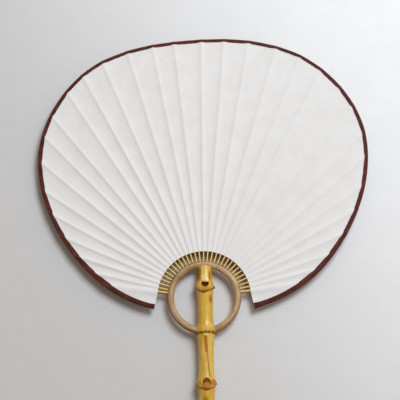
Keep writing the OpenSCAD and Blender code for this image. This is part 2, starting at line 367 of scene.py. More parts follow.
# Share of the flap on which the paper comes down from the end rib, and how far out the shallow root reaches
FLAP_SLOPE = 0.5
PRESS_REACH = 0.9

# How the strip widens towards the corners, how fast its kinks end, and its least height over the middle plane
STRIP_POWER = 2
STRIP_KINK = 3
STRIP_CREASE = 50
LOWEST_STRIP = 0.1 * MM

# What the hand-folded pleats draw at random: leaning of a valley, its least depth and a jog of the strip
PLEAT_SEED = 11
LEANING = 0.07
LEAST_SINK = 0.86
JOG = 0.14 * MM

# The paper's waves: their pace round the hub, their length along a rib, a shift from face to face, their
# share of the cockle and how low they go; the cockle lifts the paper by WAVE_LIFT in any case
Wave = namedtuple("Wave", "pace long shift share least")
WAVES = Wave(30, 22 * MM, 5, 0.7, -0.4), Wave(9, 60 * MM, 9, 0.6, 0)
WAVE_LIFT = 0.3

# A line across the paper: its inner point, its direction, its share of the way from one rib to the next,
# which is 0 on a rib, and the number of the rib before it
Column = namedtuple("Column", "start way across pleat")


def reach(start, way, circle, inset):
    """Distance from start along way to the far side of a circle that is made smaller by inset."""
    centre, radius = circle
    gap = centre - start
    along = gap.dot(way)
    return along + sqrt((radius - inset) ** 2 - gap.length_squared + along**2)


class Blade:
    """Lines and heights of the pleated paper, in the plane about the hoop's centre."""

    def __init__(self, scene):
        sizes, ribs = scene.fan_blade, scene.fan_ribs
        self.sizes, self.ribs = sizes, ribs
        self.rib_start = HOOP_OUTER - ribs.seat
        self.inner = HOOP_OUTER + sizes.bare
        self.inset = sizes.strip + sizes.rim_gap
        self.count = len(RIB_NODES)
        self.pitch = ribs.span / (self.count - 1)
        half, rise = sizes.half_width, sizes.crown_rise
        corner_x = self.inner + sizes.corner_out
        self.corner = Vector((corner_x, -sizes.corner_low))
        self.middle = Vector((sizes.shift, sqrt(half**2 - corner_x**2) - sizes.corner_low))
        self.crown_height = self.middle.y + rise
        shoulder = rise - sizes.shoulder_drop
        crown = (half**2 - 2 * half * shoulder + rise**2) / (2 * sizes.shoulder_drop)
        self.low_arc = (Vector((0, 0)), half)
        self.shoulder_arc = (Vector((half - shoulder, 0)), shoulder)
        self.crown_arc = (Vector((0, rise - crown)), crown)
        self.joint_turn = turn_of(self.shoulder_arc[0] - self.crown_arc[0])
        chance = random.Random(PLEAT_SEED)
        pull, stray = sizes.pull, sizes.stray
        draws = ((pull - LEANING, pull + LEANING), (LEAST_SINK, 1), (-stray, stray), (-JOG, JOG))
        self.skew, self.sink, self.stray, self.jog = (
            [chance.uniform(low, high) for _ in range(self.count + 2)] for low, high in draws
        )
        self.columns = self.make_columns()

    def to_arcs(self, start, way, inset):
        """Distance from start along way to the arcs moved inwards by inset, in the turned blade."""
        if way.x < 0:
            start, way = on_side(start, -1), on_side(way, -1)
        low = reach(start, way, self.low_arc, inset)
        if (start + way * low).y <= 0:
            return low
        shoulder = reach(start, way, self.shoulder_arc, inset)
        if turn_of(start + way * shoulder - self.crown_arc[0]) <= self.joint_turn:
            return shoulder
        return reach(start, way, self.crown_arc, inset)

    def to_rim(self, start, way, inset=0.0):
        """Distance from start along way to the trimmed rim moved inwards by inset."""
        back = Matrix.Rotation(-self.sizes.turn, 2)
        plain = self.to_arcs(back @ (start - self.middle), back @ way, inset)
        wave = (from_crown(start + way * plain) - self.sizes.trim_flat) / self.sizes.trim_pitch
        return plain - self.sizes.trim_wander * cos(WHOLE_TURN * wave)

    def rim_point(self, start, way):
        return start + way * self.to_rim(start, way)

    def rib_turn(self, number):
        return pi / 2 - self.ribs.span / 2 + (number - 1) * self.pitch

    def rib_way(self, number):
        """Direction of a rib under the paper."""
        return ray(self.rib_turn(number) + self.stray[number])

    def rib_width(self, number):
        return self.ribs.guard_width if number in (1, self.count) else self.ribs.width

    def rib_edge(self, number, side):
        """Where a side of a rib passes under the paper's inner edge."""
        way = ray(self.rib_turn(number))
        return way * self.inner + left_of(way) * side * self.rib_width(number) / 2

    def rib_half(self, radius):
        """Half of a rib's thickness at a distance from the hoop's centre."""
        share = (radius - self.rib_start) / (self.crown_height - self.rib_start)
        return mix(self.ribs.root_thickness, self.ribs.tip_thickness, share) / 2

    def make_columns(self):
        """Lines across the paper from right to left: flap, ribs with the pleats between them, flap."""
        columns = [self.flap_column(j / FLAP_COLUMNS, 1) for j in range(FLAP_COLUMNS, 0, -1)]
        for number in range(1, self.count + 1):
            way = self.rib_way(number)
            for k in range(RIB_COLUMNS):
                columns.append(Column(self.rib_edge(number, 2 * k / (RIB_COLUMNS - 1) - 1), way, 0, number))
            if number == self.count:
                break
            here, there = self.rib_edge(number, 1), self.rib_edge(number + 1, -1)
            onward = self.rib_way(number + 1)
            for k in range(1, VALLEY_COLUMNS + 1):
                share = (1 - cos(pi * k / (VALLEY_COLUMNS + 1))) / 2
                between = way.lerp(onward, share).normalized()
                columns.append(Column(here.lerp(there, share), between, share, number))
        return columns + [self.flap_column(j / FLAP_COLUMNS, -1) for j in range(1, FLAP_COLUMNS + 1)]

    def flap_column(self, share, side):
        """A line across the flap between an end rib and the sloping end cut; side is 1 on the right."""
        top = self.rib_edge(1, -1)
        slope = on_side((self.corner - top).normalized(), side)
        top = on_side(top, side)
        start = top + slope * self.to_rim(top, slope, self.sizes.strip_end) * share
        first = self.rim_point(top, on_side(ray(self.rib_turn(1)), side)) - self.middle
        last = self.rim_point(top, slope) - self.middle
        turn = mix(turn_of(first), turn_of(last), share)
        end = self.middle + ray(turn) * mix(first.length, last.length, share)
        return Column(start, (end - start).normalized(), share, 0 if side > 0 else self.count)

    def dip(self, column, radius):
        """How far the paper has come down from its ribs, from 0 on a rib to 1 in a valley."""
        across = column.across
        if across == 0:
            return 0
        if column.pleat in (0, self.count):
            return 1 - max(0, 1 - across / FLAP_SLOPE) ** 2
        leaning = across + self.skew[column.pleat] * 4 * across * (1 - across)
        width = radius * self.pitch - self.ribs.width
        crease = 1 - exp(-min(across, 1 - across) * width / self.sizes.crease_width)
        bowl = 1 - (2 * leaning - 1) ** 2
        press = 1 - self.sizes.shallow * exp((self.inner - radius) / (PRESS_REACH * self.inner))
        return press * self.sink[column.pleat] * mix(bowl, crease, self.sizes.crease)

    def underside(self, column, distance, face):
        """Height of a leaf's inner side over the middle plane; face is 1 in front and -1 at the back."""
        point = column.start + column.way * distance
        radius, turn = point.length, turn_of(point)
        dip, lift = self.dip(column, radius), WAVE_LIFT
        for wave in WAVES:
            wander = noise.noise(Vector((turn * wave.pace, radius / wave.long, wave.shift * face)))
            lift += wave.share * max(wave.least, wander)
        return self.sizes.paste + self.rib_half(radius) * (1 - dip) + self.sizes.cockle * dip * lift

    def strip_width(self, column):
        """Width of the edge strip on a face, growing from crown to corners, with kinks at the ribs."""
        point = self.rim_point(column.start, column.way)
        share = min(1, abs(from_crown(point)) / from_crown(self.corner)) ** STRIP_POWER
        width = mix(self.sizes.strip_crown, self.sizes.strip_end, share)
        kink = 1 - abs(2 * column.across - 1) if 0 < column.pleat < self.count else 0
        return width + (self.sizes.strip_dip + self.jog[column.pleat]) * min(1, STRIP_KINK * kink)


def leaf_mesh(blade, name, face):
    """One paper leaf, a closed sheet over the ribs."""
    rings = []
    for column in blade.columns:
        width = blade.to_rim(column.start, column.way, blade.inset)
        inner, outer = [], []
        for k in range(LEAF_ROWS + 1):
            distance = width * k / LEAF_ROWS
            x, y = column.start + column.way * distance
            height = blade.underside(column, distance, face)
            inner.append(put(x, y, face * height))
            outer.append(put(x, y, face * (height + blade.sizes.leaf)))
        rings.append(outer + inner[::-1] if face > 0 else inner + outer[::-1])
    return skin(name, rings)


def strip_mesh(blade, name):
    """The edge strip, a folded channel that follows the pleats along the rim."""
    sizes, fold = blade.sizes, blade.sizes.strip_fold
    corner = sin(pi / 4)
    over = sizes.leaf + sizes.paste + sizes.strip
    rings = []
    for column in blade.columns:
        width = blade.strip_width(column)
        flat_end = blade.to_rim(column.start, column.way, width)
        paths = []
        for radius, drop in ((fold, 0), (fold - sizes.strip, sizes.strip)):
            section = (
                (width, 0),
                (mix(width, fold, 0.5), 0),
                (fold, 0),
                (fold - radius * corner, radius * (1 - corner)),
                (fold - radius, radius),
            )
            for face in (1, -1):
                path = []
                for inset, fall in section:
                    distance = blade.to_rim(column.start, column.way, inset)
                    height = blade.underside(column, min(distance, flat_end), face) + over - drop - fall
                    spot = column.start + column.way * distance
                    path.append(put(*spot, face * max(height, LOWEST_STRIP)))
                paths.append(path)
        outer_front, outer_back, inner_front, inner_back = paths
        rings.append(outer_front + outer_back[::-1] + inner_back + inner_front[::-1])
    return skin(name, rings, crease=STRIP_CREASE)


# Ribs and hoop

RIB_STEPS = 8
RIB_CREASE = 30
RIB_SLACK = 0.03 * MM
RIB_LEAN = 0.1 * MM

# How far down a rib's split slopes reach and how wide its lower edges are cut off, as shares of rib_half
RIB_SIDE = 1.3
RIB_FOOT = 0.25

# Steps round the hoop and its section, for the hoop and its tunnel in the handle
HOOP_STEPS = 300
HOOP_SIDES = 48
TUNNEL_STEPS = 160
TUNNEL_SIDES = 36

# How fast the scraped unevenness of the hoop changes over its section and along its bend
SCRAPE_SIZE = 1.3
SCRAPE_BEND = 2.2


def rib_mesh(blade, name, number):
    """One split rib with worn edges; the end ribs slope down along their outer side."""
    ribs = blade.ribs
    way, onward = ray(blade.rib_turn(number)), blade.rib_way(number)
    across = left_of(way)
    half = blade.rib_width(number) / 2
    hidden = min(blade.to_rim(blade.rib_edge(number, side), onward, blade.inset) for side in (-1, 1))
    right, left = (ribs.guard_bevel if number == end else ribs.bevel for end in (1, blade.count))
    lean = random.Random(number).uniform(-RIB_LEAN, RIB_LEAN)
    rings = []
    for k in range(-RIB_STEPS, RIB_STEPS + 1):
        share = k / RIB_STEPS
        if k < 0:
            middle = way * mix(blade.rib_start, blade.inner, 1 + share)
            middle += across * lean * sin(pi * (1 + share))
        else:
            middle = way * blade.inner + onward * hidden * share
        up = blade.rib_half(middle.length) - RIB_SLACK
        foot, side = RIB_FOOT * up, (1 - RIB_SIDE) * up
        outline = [
            (-half + foot, -up), (-half, foot - up), (-half, side), (-half + right, up),
            (half - left, up), (half, side), (half, foot - up), (half - foot, -up),
        ]
        rings.append([put(*(middle + across * aside), height) for aside, height in outline])
    return skin(name, rings, crease=RIB_CREASE)


def socket_mesh(blade, number):
    """The room that a rib's end takes up in the hoop, with its gap all round."""
    way, gap = ray(blade.rib_turn(number)), blade.ribs.socket_gap
    half_width = blade.rib_width(number) / 2 + gap
    half_height = blade.rib_half(blade.rib_start) + gap
    rings = []
    for end in (-1, 1):
        foot = way * (HOOP_OUTER + gap) + way * (blade.ribs.seat + 2 * gap) * end
        rings.append([
            put(*(foot + left_of(way) * half_width * side), half_height * up)
            for side, up in ((-1, -1), (1, -1), (1, 1), (-1, 1))
        ])
    return skin("socket", rings)


def hoop_rings(tube, steps, sides, start, end, uneven=0.0):
    """Rings of a round section from one place on the hoop to another, counted from the hoop's foot."""
    rings = []
    for turn in np.linspace(start, end, steps) - pi / 2:
        ring = []
        for side in np.arange(sides) * WHOLE_TURN / sides:
            away = Vector((cos(turn), sin(turn), 0))
            spot = away * SCRAPE_BEND + Vector((0, cos(side), sin(side)))
            radius = tube - uneven * (0.5 + 0.5 * noise.noise(spot * SCRAPE_SIZE))
            out = HOOP_BEND + radius * cos(side)
            ring.append(put(out * cos(turn), out * sin(turn), radius * sin(side)))
        rings.append(ring)
    return rings


def hoop_mesh(scene):
    """The bent hoop, with a socket for each rib."""
    hoop, blade = scene.fan_hoop, Blade(scene)
    half_cut = asin(hoop.cut / 2 / (HOOP_OUTER - hoop.tube))
    rings = hoop_rings(hoop.tube, HOOP_STEPS, HOOP_SIDES, half_cut, WHOLE_TURN - half_cut, hoop.uneven)
    sockets = [socket_mesh(blade, number) for number in range(1, blade.count + 1)]
    return cut(skin("hoop_wood", rings), join(sockets, "sockets"))


# Handle

HANDLE_SIDES = 144
HANDLE_STEP = 0.42 * MM
NODE_STEP = 0.22 * MM
NODE_REACH = 7 * MM
TOP_ROOM = 0.5 * MM
TAIL_STEPS = 9
HOLE_SIDES = 40
BOW_REACH = 33 * MM

# The broken edge of the sawn end: how far down and how far inwards its rings lie, in millimetres
SAWN_EDGE = ((0.3, 0.03), (0.08, 0.2), (0, 0.5))

# Unevenness of the root: height of its waves, their number round the root and their length along it
UNEVEN = ((0.05 * MM, 5, 30 * MM), (0.04 * MM, 11, -22 * MM))

# A place across that is far from every mark
FAR = 1.0

# How a node's flare dies out, and the step, lip and furrow below its ring
UP_POWER = 1.5
DOWN_POWER = 1.3
LIP_LENGTH = 1 * MM
LIP_SHARE = 0.36
LIP_RISE = 0.3 * MM
LIP_WIDTH = 0.7 * MM
FURROW = 0.18 * MM
FURROW_BELOW = 1.9 * MM
FURROW_WIDTH = 0.6 * MM

# Wandering of a node's ring: its waves' height, their number round the root and their shift from node to node
RING_WAVES = ((0.25 * MM, 3, 1), (0.15 * MM, 7, 2))

# Root scars on a ring, which are left out about its bud
SCAR_COUNT = 18
SCAR_PHASE = radians(-2.5)
SCAR_SEED = 5
SCAR_STRAY = (-0.05, 0.05)
SCAR_HEIGHT = (-0.75, -0.25)
SCAR_SIZE = (0.75, 1.1)
SCAR_COLOUR = (0.5, 1)
SCAR_DEPTH = 0.3 * MM
SCAR_PIT = 0.7
BUD_CLEAR = 0.75
ARCH_POWER = 2.8

Mark = namedtuple("Mark", "across along wide long")
Ridge = namedtuple("Ridge", "rise width points")


def mark(*millimetres):
    """An oval mark on the handle: its middle across and along, and its half width and half length."""
    return Mark(*(size * MM for size in millimetres))


def ridge(rise, width, *points):
    """A ridge on the handle's front through points across and along, or a furrow if its rise is below 0."""
    return Ridge(rise * MM, width * MM, [(across * MM, along * MM) for across, along in points])


# The first node's sheath, which ends in a tongue over the pocket of the fallen bud
TONGUE = ridge(0.35, 1.2, (-2.2, 30), (-2.1, 13.6))
TONGUE_FOOT = ridge(-0.2, 1, (1.4, 30), (1.2, 14))
BULGE = ridge(0.25, 1.2, (3.6, 24), (4, 13))
SHEATH = ridge(0.4, 0.7, (-2.1, 16.4), (-3.3, 12.9), (-5.7, 8.8))
SHEATH_RECESS = ridge(-0.35, 1.1, (-4.3, 22), (-5, 14.6))
SHEATH_FOLD = ridge(0, 0.6, (-5.3, 22.5), (-5.8, 15))
POCKET = mark(0.2, 9.9, 3, 1.85)
POCKET_DEPTH = 2.4 * MM
# The oval of painted shade in the first node's pocket.
POCKET_SHADE = mark(0.2, 9.9, 3.15, 1.85)
CHIN = mark(0.1, 5.8, 3.1, 2.3)
CHIN_RISE = 0.35 * MM

# The broad groove below the second node and the crack that runs on from it
GROOVE = ridge(-0.35, 1.35, (-0.6, -33.9), (0.1, -44.6))
GROOVE_SOFT = 0.3 * MM
GROOVE_RIM = ridge(0.2, 0.6, (-2.4, -34), (-2, -45))
GROOVE_CAP = mark(-1, -31.7, 2, 0.7)
GROOVE_CAP_RISE = 0.3 * MM
CRACK = ridge(-0.14, 0.25, (1.1, -45.8), (1.8, -56.2), (2.6, -64.3))
RIDGES = (TONGUE, TONGUE_FOOT, BULGE, SHEATH, SHEATH_RECESS, GROOVE_RIM, CRACK)

STAINS = (
    mark(4.5, -2, 1.3, 3.1), mark(-0.6, -84, 2.6, 3.6), mark(5.6, -69.3, 2.8, 2.6), mark(4.2, 17.5, 0.9, 4)
)
EYE = mark(-5.6, -69.9, 1.4, 1.8)

# The buds behind the nodes' rings: where round the root they sit, how far the ring sags below them and
# over what angle. The first one has fallen out and left a pocket, the others are discs in a hollow.
Bud = namedtuple("Bud", "turn sag spread")
BUDS = (
    Bud(0, 4.4 * MM, 0.9),
    Bud(pi, 3.8 * MM, 0.8),
    Bud(0, 4.2 * MM, 0.85),
    Bud(pi, 3.8 * MM, 0.8),
)
DISC_BUDS = (1, 2, 3)
DISC = mark(0.2, -2, 3.5, 3.4)
DISC_RISE = 0.6 * MM
HOLLOW = mark(0.2, -0.3, 3.6, 4.9)
HOLLOW_DEPTH = 0.5 * MM
BUD_DOTS = (
    mark(0.3, -2.4, 0.45, 0.42), mark(-1, -3.2, 0.38, 0.36),
    mark(1.5, -3.6, 0.3, 0.3), mark(-0.4, -1.2, 0.28, 0.26),
)


def step(low, high, value):
    """Rises smoothly from 0 at low to 1 at high."""
    share = np.clip((value - low) / (high - low), 0, 1)
    return share * share * (3 - 2 * share)


def bell(distance, width):
    return np.exp(-(distance / width) ** 2)


def off_turn(turn, middle):
    """Angle from middle to turn, between minus and plus half a turn."""
    return np.mod(turn - middle + pi, WHOLE_TURN) - pi


def out_of(spot, across, along):
    """Distance from a mark's middle, which is 1 on its border."""
    return np.hypot((across - spot.across) / spot.wide, (along - spot.along) / spot.long)


def round_patch(spot, across, along, soft):
    """1 inside an oval mark and 0 outside it, with a soft border."""
    return 1 - step(1 - soft, 1 + soft, out_of(spot, across, along))


def dome(spot, across, along):
    """A low dome over an oval mark, 1 high in its middle."""
    return np.sqrt(np.clip(1 - out_of(spot, across, along) ** 2, 0, 1))


def arch_patch(spot, across, along, soft):
    """Like round_patch, but flat along its top edge, and half as deep."""
    above = along - spot.along - spot.long
    wide, deep = np.abs(across - spot.across) / spot.wide, np.abs(above) / (2 * spot.long)
    distance = (wide**ARCH_POWER + deep**ARCH_POWER) ** (1 / ARCH_POWER)
    return (1 - step(1 - soft, 1 + soft, distance)) * (1 - step(-soft * spot.long, soft * spot.long, above))


def from_line(points, across, along):
    """Distance from a line through points."""
    nearest = np.full(np.shape(across), np.inf)
    for (x0, y0), (x1, y1) in zip(points, points[1:]):
        dx, dy = x1 - x0, y1 - y0
        share = np.clip(((across - x0) * dx + (along - y0) * dy) / (dx * dx + dy * dy), 0, 1)
        nearest = np.minimum(nearest, np.hypot(across - x0 - share * dx, along - y0 - share * dy))
    return nearest


def near(line, across, along, width=None):
    """1 on a ridge's line and 0 away from it."""
    return bell(from_line(line.points, across, along), width or line.width)


def in_groove(across, along, half):
    """1 within half of the groove's line and 0 outside, with a soft border."""
    return 1 - step(half - GROOVE_SOFT, half + GROOVE_SOFT, from_line(GROOVE.points, across, along))


def ring_height(handle, number, turn):
    """Height of a node's ring, which wanders a little and sags below the node's bud."""
    bud = BUDS[number]
    wander = sum(rise * np.sin(times * turn + shift * number) for rise, times, shift in RING_WAVES)
    return handle.nodes[number] + wander - bud.sag * bell(off_turn(turn, bud.turn), bud.spread)


def bow(handle, along):
    """How far the bent root stands to the right at heights along."""
    share = (along - handle.tail) / (handle.top + BOW_REACH - handle.tail)
    return handle.bow * np.sin(pi * share)


def scars(handle):
    """Root scars round each node: angle from the front, height, size and depth of colour."""
    chance = random.Random(SCAR_SEED)
    found = []
    for number, bud in enumerate(BUDS):
        for k in range(SCAR_COUNT):
            turn = SCAR_PHASE + WHOLE_TURN * k / SCAR_COUNT + chance.uniform(*SCAR_STRAY)
            height = ring_height(handle, number, turn) + chance.uniform(*SCAR_HEIGHT) * MM
            size, depth = chance.uniform(*SCAR_SIZE) * MM, chance.uniform(*SCAR_COLOUR)
            found.append((turn, height, size, depth * (1 - bell(off_turn(turn, bud.turn), BUD_CLEAR))))
    return found


def waist(handle, along):
    """Radius of the handle without its nodes."""
    middles = [(high + low) / 2 for high, low in zip(handle.nodes, handle.nodes[1:])]
    return np.interp(along, [handle.tail, *middles[::-1], handle.top], list(handle.waists)[::-1])


def handle_heights(handle):
    """Heights of the handle's rings, closer together about the nodes."""
    heights, here = [], handle.tail + handle.tail_round
    while here < handle.top - TOP_ROOM:
        heights.append(here)
        away = min(abs(here - node) for node in handle.nodes)
        here += NODE_STEP if away < NODE_REACH else HANDLE_STEP
    return np.array(heights)


def node_relief(handle, along, turn):
    """How far the nodes stand out: a long flare up to each ring, and a step down below it."""
    swelling, lip = np.zeros_like(along), np.zeros_like(along)
    for number, radius in enumerate(handle.radii):
        ring = ring_height(handle, number, turn)
        above, below = np.maximum(along - ring, 0), np.maximum(ring - along, 0)
        up = np.exp(-(above / handle.swell_up) ** UP_POWER)
        down = mix(np.exp(-(below / handle.swell_down) ** DOWN_POWER), bell(below, LIP_LENGTH), LIP_SHARE)
        swelling = np.maximum(swelling, (radius - LIP_RISE - waist(handle, ring)) * up * down)
        lip += LIP_RISE * bell(along - ring, LIP_WIDTH) * (0.75 + 0.25 * np.sin(9 * turn + number))
        lip -= FURROW * bell(along - ring + FURROW_BELOW, FURROW_WIDTH)
    return swelling + lip


def disc_buds(handle, along, turn, radius):
    """For each bud with a disc: where it faces, and places across and along counted from its node."""
    for number in DISC_BUDS:
        aside = off_turn(turn, BUDS[number].turn)
        yield np.cos(aside) > 0, radius * np.sin(aside), along - handle.nodes[number]


def handle_radius(handle, along, turn):
    """Radius of the handle's surface at heights along and angles turn from the front."""
    radius = waist(handle, along) + node_relief(handle, along, turn)
    for rise, times, long in UNEVEN:
        radius += rise * np.sin(times * turn + along / long)
    across = np.where(np.cos(turn) > 0, radius * np.sin(turn), FAR)
    for line in RIDGES:
        radius += line.rise * near(line, across, along)
    radius -= POCKET_DEPTH * arch_patch(POCKET, across, along, 0.1)
    radius += CHIN_RISE * dome(CHIN, across, along)
    radius += GROOVE.rise * in_groove(across, along, GROOVE.width)
    radius += GROOVE_CAP_RISE * round_patch(GROOVE_CAP, across, along, 0.5)
    for facing, beside, height in disc_buds(handle, along, turn, radius):
        radius += facing * DISC_RISE * dome(DISC, beside, height)
        radius -= facing * HOLLOW_DEPTH * round_patch(HOLLOW, beside, height, 0.1)
    for turn_at, height, size, depth in scars(handle):
        away = np.hypot(off_turn(turn, turn_at) * radius, along - height)
        radius -= SCAR_DEPTH * depth * bell(away, size * SCAR_PIT)
    return radius


def handle_mesh(scene):
    """The bamboo-root handle, with its saddle and tunnel for the hoop and its hang hole."""
    handle, hoop = scene.fan_handle, scene.fan_hoop
    heights, turns = handle_heights(handle), np.arange(HANDLE_SIDES) * WHOLE_TURN / HANDLE_SIDES
    radii = handle_radius(handle, *np.meshgrid(heights, turns, indexing="ij"))
    rings = []
    for k in range(1, TAIL_STEPS):
        slope = pi / 2 * k / TAIL_STEPS
        rings.append((handle.tail + handle.tail_round * (1 - cos(slope)), radii[0] * sin(slope)))
    rings += list(zip(heights, radii))
    rings += [(handle.top - down * MM, radii[-1] - inward * MM) for down, inward in SAWN_EDGE]
    lowest, highest = (corner.z - HUB.z for corner in CAD_BOX)
    points = [
        [
            put(bow(handle, height) + r * sin(t), height, min(max(r * cos(t), lowest), highest))
            for r, t in zip(ring, turns)
        ]
        for height, ring in rings
    ]
    last = WHOLE_TURN * (1 - 1 / TUNNEL_STEPS)
    tunnel = hoop_rings(hoop.tube + hoop.gap, TUNNEL_STEPS, TUNNEL_SIDES, 0.0, last)
    middle, size = handle.tail + handle.hang_in, handle.hang_radius
    around = np.arange(HOLE_SIDES) * WHOLE_TURN / HOLE_SIDES
    hole = [
        [put(size * cos(t), middle + size * sin(t), z) for t in around]
        for z in (-2 * handle.waists[-1], 2 * handle.waists[-1])
    ]
    tools = join([skin("ring", tunnel, closed=True), skin("hole", hole)], "tunnel")
    return cut(skin("handle_root", points), tools)


def paint_handle(mesh, handle):
    """Writes where the handle is scarred, stained and cracked, and where shade is painted into the bud
    pockets and hollows, as values on its points.
    """
    spots = np.array([vertex.co for vertex in mesh.vertices]) - np.array(HUB)
    along = spots[:, 1]
    side, up = spots[:, 0] - bow(handle, along), spots[:, 2]
    turn, radius = np.arctan2(side, up), np.hypot(side, up)
    across = np.where(up > 0, side, FAR)
    edge = np.abs(np.sin(turn))
    layers = {name: np.zeros(len(spots)) for name in ("scar", "stain", "line")}

    def add(name, strength, patch):
        np.maximum(layers[name], strength * patch, out=layers[name])

    for turn_at, height, size, depth in scars(handle):
        away = np.hypot(off_turn(turn, turn_at) * radius, along - height)
        add("scar", depth, bell(away, size))
        add("stain", 0.8 * depth, bell(away, 2 * size))
    for number, bud in enumerate(BUDS):
        gap = along - ring_height(handle, number, turn)
        below_bud = bell(off_turn(turn, bud.turn), 0.7)
        for name, strength, below, width in (
            ("line", 0.15 + 0.6 * edge**2, 1.2, 0.5),
            ("scar", 0.9 * step(0.8, 1, edge), 0, 0.9),
            ("scar", 0.6 * below_bud, 0, 0.7),
            ("scar", 0.1 + 0.5 * edge**2, 1.1, 0.35),
            ("stain", 0.3 + 0.5 * below_bud, -1.2, 2.2),
            ("stain", 0.9 * below_bud, 0.5, 1.4),
        ):
            add(name, strength, bell(gap + below * MM, width * MM))
    for facing, beside, height in disc_buds(handle, along, turn, radius):
        hollow, disc = (round_patch(spot, beside, height, 0.12) for spot in (HOLLOW, DISC))
        # Painted shade in each bud's hollow round its disc.
        add("scar", 0.8 * facing, hollow * (1 - disc))
        add("stain", facing, hollow)
        add("scar", 0.5 * facing, disc * step(0.75, 0.95, out_of(DISC, beside, height)))
        for dot in BUD_DOTS:
            add("scar", facing, round_patch(dot, beside, height, 0.4))
    # Painted shade in the first node's pocket.
    add("scar", 1, arch_patch(POCKET_SHADE, across, along, 0.12))
    add("stain", 0.8, round_patch(CHIN, across, along, 0.4))
    add("stain", 0.95, in_groove(across, along, 1.3 * MM))
    add("stain", 0.85, near(SHEATH_RECESS, across, along, 1.3 * MM))
    add("stain", 0.8, step(handle.top - 1.6 * MM, handle.top, along))
    for spot in STAINS:
        add("stain", 1, round_patch(spot, across, along, 0.4))
    add("line", 0.8, near(SHEATH_FOLD, across, along))
    add("line", 1, near(CRACK, across, along, 0.45 * MM))
    add("line", 0.8, round_patch(EYE, across, along, 0.3) * step(0.25, 0.6, out_of(EYE, across, along)))
    for name, values in layers.items():
        mesh.attributes.new(name, "FLOAT", "POINT").data.foreach_set("value", np.clip(values, 0, 1))


# Materials

# Brightness of the plain backdrop, and the places of the paper's specks in millimetres
BACKDROP = 0.6
PAPER_SPECKS = ((-33.6, 204, 1), (-49.6, 13.6, 1))
BLACK = (0, 0, 0)


def titled(name):
    """The label of a named effect or input: patch_size becomes Patch size."""
    return name.replace("_", " ").capitalize()


class Shader:
    """Adds nodes to one shader tree. An input takes a value or another node's output."""

    def __init__(self, tree):
        self.tree = tree

    def feed(self, node, inputs):
        for key, value in inputs.items():
            if isinstance(value, bpy.types.NodeSocket):
                self.tree.links.new(value, node.inputs[key])
            else:
                node.inputs[key].default_value = value

    def add(self, kind, inputs=None, **settings):
        made = self.tree.nodes.new("ShaderNode" + kind)
        for name, value in settings.items():
            setattr(made, name, value)
        self.feed(made, inputs or {})
        return made

    def maths(self, operation, *values, clamp=False):
        return self.add("Math", dict(enumerate(values)), operation=operation, use_clamp=clamp).outputs[0]

    def times(self, first, second):
        return self.maths("MULTIPLY", first, second)

    def vectors(self, operation, *values, output="Value"):
        return self.add("VectorMath", dict(enumerate(values)), operation=operation).outputs[output]

    def spread(self, value, low, high, to_low=0.0, to_high=1.0):
        """Turns low to high into to_low to to_high, smoothly."""
        inputs = {"Value": value, "From Min": low, "From Max": high, "To Min": to_low, "To Max": to_high}
        return self.add("MapRange", inputs, interpolation_type="SMOOTHSTEP").outputs[0]

    def between(self, mask, low, high):
        """Turns a mask's 0 into low and its 1 into high."""
        return self.spread(mask, 0.0, 1.0, low, high)

    def vector(self, x, y, z):
        return self.add("CombineXYZ", {0: x, 1: y, 2: z}).outputs[0]

    def split(self, vector):
        return self.add("SeparateXYZ", {0: vector}).outputs

    def noise(self, vector, scale, detail=3.0, roughness=0.5):
        inputs = {"Vector": vector, "Scale": scale, "Detail": detail, "Roughness": roughness}
        return self.add("TexNoise", inputs).outputs[0]

    def blend(self, share, first, second, mode="MIX"):
        """Mixes two colours, each another node's output or three channels."""
        first, second = (
            paint if isinstance(paint, bpy.types.NodeSocket) else (*paint, 1.0) for paint in (first, second)
        )
        inputs = {0: share, 6: first, 7: second}
        return self.add("Mix", inputs, data_type="RGBA", blend_type=mode).outputs[2]

    def coats(self, tone, *coats):
        """Lays coats over a colour, each with its mask, the mask's strength and its colour."""
        for mask, strength, paint in coats:
            tone = self.blend(mask if strength == 1 else self.times(mask, strength), tone, paint)
        return tone

    def bump(self, height, distance, strength):
        return self.add("Bump", {"Height": height, "Distance": distance, "Strength": strength}).outputs[0]

    def effect(self, build, **inputs):
        """Places the node group of that effect, which is made once and has these inputs."""
        tree = bpy.data.node_groups.get(titled(build.__name__))
        if not tree:
            tree = bpy.data.node_groups.new(titled(build.__name__), "ShaderNodeTree")
            for name in inputs:
                kind = "NodeSocketVector" if name == "place" else "NodeSocketFloat"
                tree.interface.new_socket(titled(name), in_out="INPUT", socket_type=kind)
            given = tree.nodes.new("NodeGroupInput").outputs
            found = build(Shader(tree), *[given[titled(name)] for name in inputs])
            for name in found:
                tree.interface.new_socket(name, in_out="OUTPUT", socket_type="NodeSocketFloat")
            Shader(tree).feed(tree.nodes.new("NodeGroupOutput"), found)
        inputs = {titled(name): value for name, value in inputs.items()}
        return self.add("Group", inputs, node_tree=tree).outputs


class Finish(Shader):
    """A new material, with the place on the fan in millimetres from the hoop's centre."""

    def __init__(self, name):
        self.material = bpy.data.materials.new(name)
        self.material.use_nodes = True
        super().__init__(self.material.node_tree)
        spot = self.add("TexCoord").outputs["Object"]
        from_hub = self.vectors("SUBTRACT", spot, tuple(HUB), output="Vector")
        self.place = self.vectors("MULTIPLY", from_hub, (PER_MM,) * 3, output="Vector")

    def lead(self, **sources):
        """Feeds the surface shader, where Base_Color is its Base Color, and returns the material."""
        surface = self.tree.nodes["Principled BSDF"]
        self.feed(surface, {name.replace("_", " "): value for name, value in sources.items()})
        return self.material


def polar_place(shader, place):
    """Radius and height in millimetres, and the angle about the hoop's centre, counted from the crown."""
    x, y, z = shader.split(place)
    radius = shader.vectors("LENGTH", shader.vector(x, y, 0.0))
    return {"Radius": radius, "Angle": shader.maths("ARCTAN2", x, y), "Height": z}


